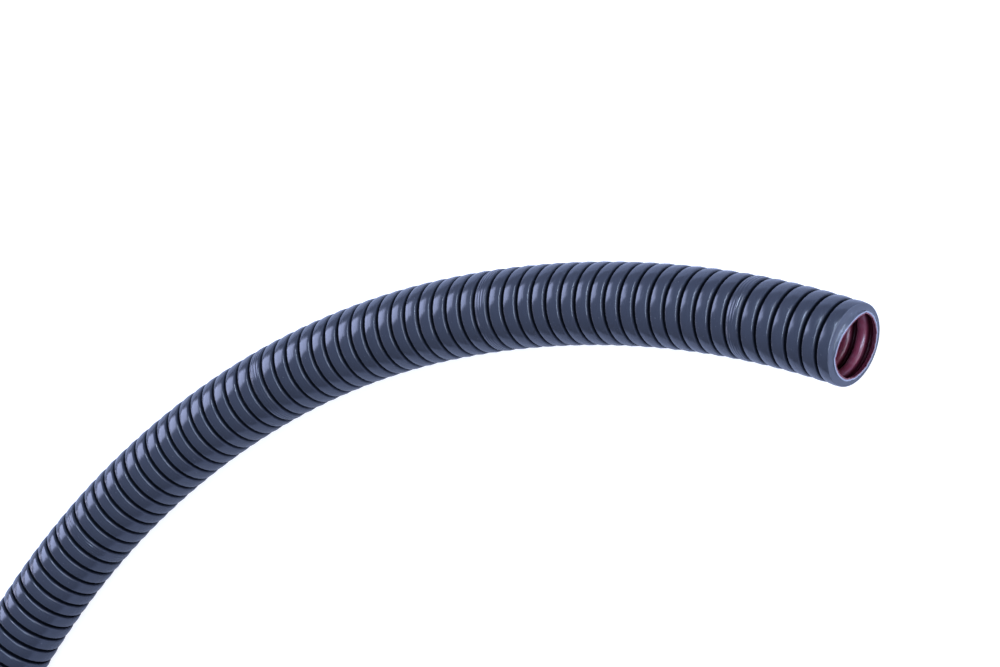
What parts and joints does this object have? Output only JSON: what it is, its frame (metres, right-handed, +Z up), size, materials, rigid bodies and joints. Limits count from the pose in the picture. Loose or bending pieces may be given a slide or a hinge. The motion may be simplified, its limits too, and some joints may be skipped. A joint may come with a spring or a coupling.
{
  "type": "corrugated conduit",
  "caption": "Flexible corrugated conduit for cables, a grey ringed outer jacket over a dark red inner liner, lying in one open bend with both ends cut square.",
  "frame": {"origin": "on the floor, under the middle of the part's outline seen from above", "axes": "+Z up from the floor that the conduit lies on, +Y along the longest side of its outline, towards the bend's near end"},
  "size_m": [0.3882, 0.4586, 0.025],
  "materials": {
    "jacket": "satin",
    "liner": "gloss"
  },
  "bodies": {
    "root": {"jacket": "jacket", "liner": "liner"}
  },
  "joints": []
}
